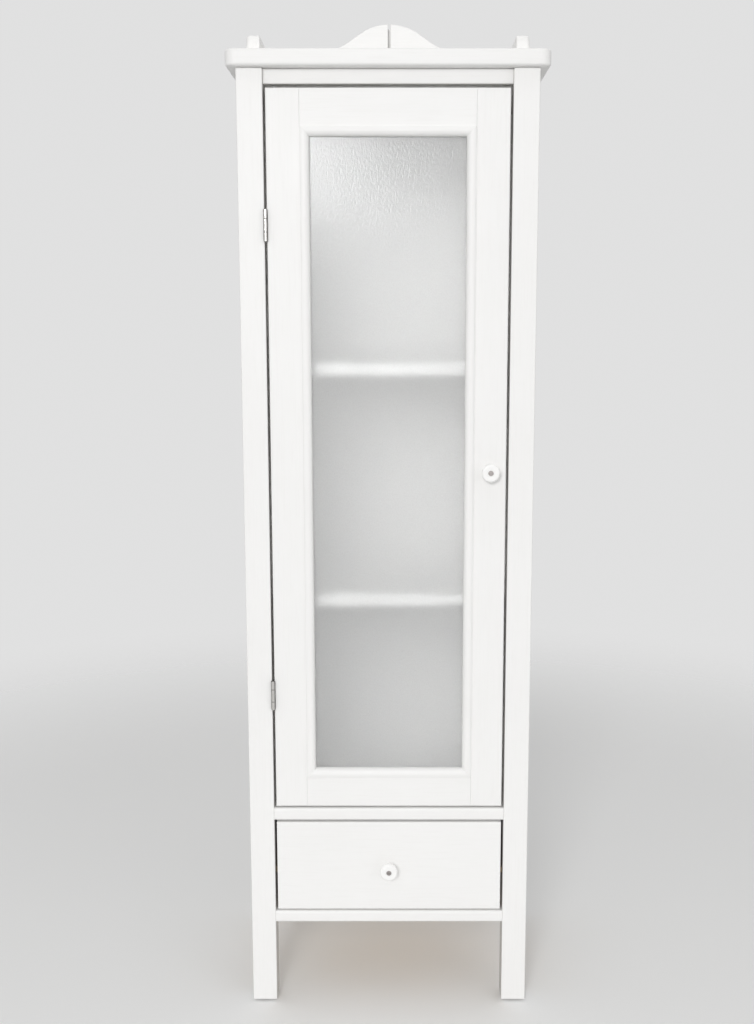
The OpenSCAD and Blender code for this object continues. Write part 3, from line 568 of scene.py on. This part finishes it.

# ---- Door frame ----
# Two full-height stiles and two rails of pine, dowelled and painted. A faint
# line shows at each joint, where the rails' ends and the stiles are rounded. The
# stiles' outer faces have a matt coat, darkened as painted shade for the door's gaps.

door_round = 0.002
joint_round = 0.002
for side, outward, inner in (("left", -1, "right"), ("right", 1, "left")):
    stile = eased("door_stile_" + side, paint["upright"],
                  (door_round, "front " + side, "front top", "front bottom"),
                  (rail_end, "back " + side, "back top", "back bottom"), (joint_round, "front " + inner))
    recoat(stile, 0, outward, matt_painted_shade["upright"])
for side in ("top", "bottom"):
    eased("door_rail_" + side, paint["across"], (door_round, "front " + side), (rail_end, "back " + side),
          (joint_round, "front left", "front right"))
dress("door_dowels", beech)

# ---- Beads and glass ----
# Moulded beads, mitred at the corners, hold the obscure glass from the front,
# and square strips hold it from behind. The glass is rolled with a relief of
# short upright dashes on its front face.

mitre_round = 0.0004
slant = 0.5


def mitre(edge):
    """A test for the edges of a mitred end, the only face that slants as seen from the front."""
    slanted = [abs(face.normal.x) > slant and abs(face.normal.z) > slant for face in edge.link_faces]
    return sum(slanted) == 1


for side, along in (("top", "across"), ("bottom", "across"), ("left", "upright"), ("right", "upright")):
    shaped("bead_" + side, paint[along], (mitre_round, mitre))
shaped("glass_retainers", paint["upright"], (rail_end, lambda edge: True))

PALE_GLASS = (0.95, 0.955, 0.955)
MILKY_GLASS = (0.86, 0.865, 0.865)
LAMPLIGHT_LEFT = (0.74, 0.74, 0.74, 1)
pebbles_per_metre = 900
pebbled_way = (1, 1, 0.5)
pebble_deep = 0.0003


def obscure_glass():
    """Rolled glass: its bright skin follows the relief, and its body is a little milky and
    scatters what is seen through it. Lamps reach past it."""
    made = Recipe("obscure_glass")
    pebble = made.noise(made.place(pebbled_way), pebbles_per_metre, detail=2)
    glass = made.shader(
        base_color=made.tint(made.steps(pebble, (0.35, 0), (0.65, 1)), MILKY_GLASS, PALE_GLASS),
        roughness=0.42 + pebble * 0.12, transmission_weight=0.86, ior=1.5,
        coat_weight=0.3, coat_roughness=0.075, normal=made.bump(pebble, pebble_deep))
    clear = made.add("BsdfTransparent", {}, {"Color": LAMPLIGHT_LEFT})
    shadow = made.add("LightPath", output="Is Shadow Ray")
    return made.done(made.add("MixShader", {}, {0: shadow, 1: glass, 2: clear}))


relief_deep = 0.0004
column_step = 0.0009
row_step = 0.0018
dash_wide = 0.0019
dash_long = 0.0038


def relief(x, z):
    """How far the rolled face stands behind its highest points."""
    spot = Vector((x / dash_wide, 0, z / dash_long))
    height = 0.5 + 0.55 * noise.noise(spot) + 0.2 * noise.noise(spot * 2.1)
    return relief_deep * min(1, max(0, height))


low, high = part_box("glass_pane")
columns = round((high.x - low.x) / column_step)
rows = round((high.z - low.z) / row_step)
pane = block(low, high)
bmesh.ops.delete(pane, geom=[face for face in pane.faces if face.normal.y < -STRAIGHT], context="FACES_ONLY")
grid = []
for row in range(rows + 1):
    z = low.z + (high.z - low.z) * row / rows
    xs = [low.x + (high.x - low.x) * column / columns for column in range(columns + 1)]
    on_rim = row in (0, rows)
    grid.append([pane.verts.new((x, low.y + (0 if on_rim or x in (xs[0], xs[-1]) else relief(x, z)), z))
                 for x in xs])
for lower, upper in zip(grid, grid[1:]):
    for column in range(columns):
        pane.faces.new((lower[column], lower[column + 1], upper[column + 1], upper[column]))
bmesh.ops.remove_doubles(pane, verts=pane.verts, dist=NEAR)
glass = stand("rolled_glass", pane, obscure_glass(), "door")
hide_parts("glass_pane")

# ---- Hinges ----
# Two nickel-plated steel butt hinges. Each has a leaf let in beside the post
# and one on the door's edge, three knuckles, and a pin with buttoned ends. The
# barrels are dirty in the joints, and darkened next to the wood as painted shade, which leaves them bright
# in front.

# Dark colour for dirt in the knuckle joints and for painted shade next to the wood.
DIRT_AND_SHADE = (0.10, 0.095, 0.09)
dirt_and_shade_dull = 0.2
joint_up = 0.01065
joint_soil = 0.001
side_shade_from = 0.0005
side_shade_full = 0.0019
barrel_deep = 0.0062
leaf_start = 0.0078


def barrel_dirt_and_shade(made, plate, gloss):
    """The plating and its gloss, soiled in a barrel's joints and darkened next to the wood as painted shade.
    """
    place = made.add("TexCoord", output="Object")
    height = made.add("SeparateXYZ", {}, {0: place}, output="Z")
    depth = made.add("SeparateXYZ", {}, {0: place}, output="Y")
    boxes = [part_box(node) for node in ("hinge_upper_post_leaf", "hinge_lower_post_leaf")]
    offs = [abs(height - (low.z + high.z) / 2) for low, high in boxes]
    from_joint = abs(made.maths("MINIMUM", *offs) - joint_up)
    in_joint = made.add("MapRange", {}, {"Value": from_joint, "From Min": joint_soil, "From Max": 0})
    front = boxes[0][0].y
    # Painted shade: the barrel darkens towards the wood, where the gaps shade it, and stays bright in front.
    beside = made.add("MapRange", {}, {
        "Value": depth, "From Min": front + side_shade_from, "From Max": front + side_shade_full})
    leaf = made.add("MapRange", {}, {
        "Value": depth, "From Min": front + barrel_deep, "From Max": front + leaf_start})
    dirt_and_shade = made.maths("MAXIMUM", in_joint, beside) * (1 - leaf)
    return made.tint(dirt_and_shade, plate, DIRT_AND_SHADE), gloss + dirt_and_shade * dirt_and_shade_dull


nickel = metal("satin_nickel", colour=(0.66, 0.65, 0.63), dull=(0.50, 0.485, 0.46), roughness=0.24,
               along=(1, 1, 0.1), dirt_and_shade=barrel_dirt_and_shade)
for node in ("hinge_upper_post_leaf", "hinge_lower_post_leaf", "hinge_upper_door_leaf",
             "hinge_lower_door_leaf", "hinge_pins", "hinge_post_screws", "door_fitting_screws"):
    dress(node, nickel)
dress("strike_plate", zinc)

# ---- Knobs ----
# Two turned knobs in white paint, dished in front, their white painted lighter
# than the boards' as a painted highlight. A screw goes in through the face of
# each, and its dull zinc head shows.

# A lighter white than the boards': a painted highlight on the knobs.
KNOB_LIT_WHITE = (0.95, 0.945, 0.935)
ripples_per_metre = 700
blots_per_metre = 90
ripple_deep = 0.00003


def turned():
    """Satin paint over a turned knob, a little smoother than on the boards, and lighter as a painted
    highlight.
    """
    made = Recipe("white_paint_turned")
    coat = made.noise(made.place(), ripples_per_metre, detail=3)
    patches = made.noise(made.place(), blots_per_metre, detail=2)
    return made.done(made.shader(
        base_color=made.tint(made.steps(patches, (0.45, 0), (0.7, 0.5)), KNOB_LIT_WHITE, WHITE),
        roughness=0.28 + patches * 0.1, normal=made.bump(coat, ripple_deep)))


knob_paint = turned()
for node in ("door_knob", "drawer_knob"):
    dress(node, knob_paint)
knob_screw = metal("dull_zinc", colour=(0.44, 0.41, 0.40), dull=(0.33, 0.31, 0.30), roughness=0.45)
for node in ("door_knob_screw", "drawer_knob_screw"):
    dress(node, knob_screw)

# ---- Drawer ----
# A painted front dowelled to a box of bare lacquered pine. The sides are
# grooved for the runners, and a thin bottom slides in their lower grooves.

eased("drawer_front", paint["across"], (door_round, *front_edges, *end_edges),
      (rail_end, *back_edges, "back left", "back right"))
box_ease = 0.0015
for node in ("drawer_side_left", "drawer_side_right"):
    eased(node, pine["deep"], (box_ease, *long_edges), slot="pine")
eased("drawer_back", pine["across"], (box_ease, *front_edges, *back_edges), slot="pine")
dress("drawer_bottom", pine["across"])
dress("drawer_dowels", beech)

# ---- Floor, light and camera ----
# A plain pale floor that fades into the background, a small soft lamp close in
# front, large weak ones far in front, overhead and at the right, and a sky that
# is dimmer below the horizon.

BACKGROUND = 0.75
SKY_ABOVE = 0.60
SKY_BELOW = 0.30
FLOOR_PALE = (0.88, 0.88, 0.875)
FLOOR_SPECK = (0.85, 0.85, 0.845)
specks_per_metre = 300
floor_near = 1.1
floor_far = 2.6
floor_corners = 96
horizon_low = -0.3
horizon_high = 0.05


def floor_material():
    """Pale floor that thins out to nothing with distance."""
    made = Recipe("pale_floor")
    distance = made.add("VectorMath", {"operation": "LENGTH"}, {0: made.place()}, output="Value")
    gone = made.add("MapRange", {"interpolation_type": "SMOOTHSTEP"},
                    {"Value": distance, "From Min": floor_near, "From Max": floor_far})
    speckle = made.noise(made.place(), specks_per_metre, detail=2)
    matt = made.shader(base_color=made.tint(speckle, FLOOR_PALE, FLOOR_SPECK), roughness=0.9)
    clear = made.add("BsdfTransparent")
    return made.done(made.add("MixShader", {}, {0: gone, 1: matt, 2: clear}))


turns = [math.tau * step / floor_corners for step in range(floor_corners)]
ring = [(floor_far * math.cos(turn), floor_far * math.sin(turn), 0) for turn in turns]
floor_mesh = bpy.data.meshes.new("floor")
floor_mesh.from_pydata(ring, [], [range(floor_corners)])
floor_mesh.materials.append(floor_material())
floor = bpy.data.objects.new("floor", floor_mesh)
bpy.context.scene.collection.objects.link(floor)

world = bpy.data.worlds.new("studio")
bpy.context.scene.world = world
studio = Recipe("studio", world)
ways = ("Camera", "Glossy", "Transmission")
camera, glossy, through_glass = [studio.add("LightPath", output=f"Is {way} Ray") for way in ways]
seen = studio.maths("MAXIMUM", studio.maths("MAXIMUM", camera, glossy), through_glass)
rise = studio.add("SeparateXYZ", {}, {0: studio.add("TexCoord", output="Generated")}, output="Z")
above = studio.add("MapRange", {"interpolation_type": "SMOOTHSTEP"},
                   {"Value": rise, "From Min": horizon_low, "From Max": horizon_high})
glow = studio.tint(above, (SKY_BELOW,) * 3, (SKY_ABOVE,) * 3)
sky = studio.tint(seen, glow, (BACKGROUND,) * 3)
light = studio.add("Background", {}, {"Color": sky})
studio.add("OutputWorld", {}, {"Surface": light})


def lamp(name, spot, size, watts):
    """A square soft lamp that faces the middle of the cabinet."""
    middle = Vector((0, 0, 0.9))
    made = bpy.data.lights.new(name, "AREA")
    made.size = size
    made.energy = watts
    stand_in = bpy.data.objects.new(name, made)
    stand_in.location = spot
    stand_in.rotation_euler = (Vector(spot) - middle).to_track_quat("Z", "Y").to_euler()
    bpy.context.scene.collection.objects.link(stand_in)


lamp("key", spot=(-0.37, -2.96, 1.8), size=0.45, watts=13)
lamp("wide", spot=(-1.2, -6.3, 2.6), size=1.5, watts=98)
lamp("top", spot=(0, -1.2, 4.2), size=2.0, watts=8)
lamp("fill", spot=(2.8, -3.4, 1.4), size=2.0, watts=12)

view = bpy.data.cameras.new("view")
view.sensor_width = 36
view.lens = 42.894
view.shift_x = -0.0201
eye = bpy.data.objects.new("view", view)
eye.location = (0.015, -2.158, 1.194)
eye.rotation_euler = (math.radians(81.015), 0, 0)
bpy.context.scene.collection.objects.link(eye)
bpy.context.scene.camera = eye
bpy.context.scene.view_settings.view_transform = "Standard"
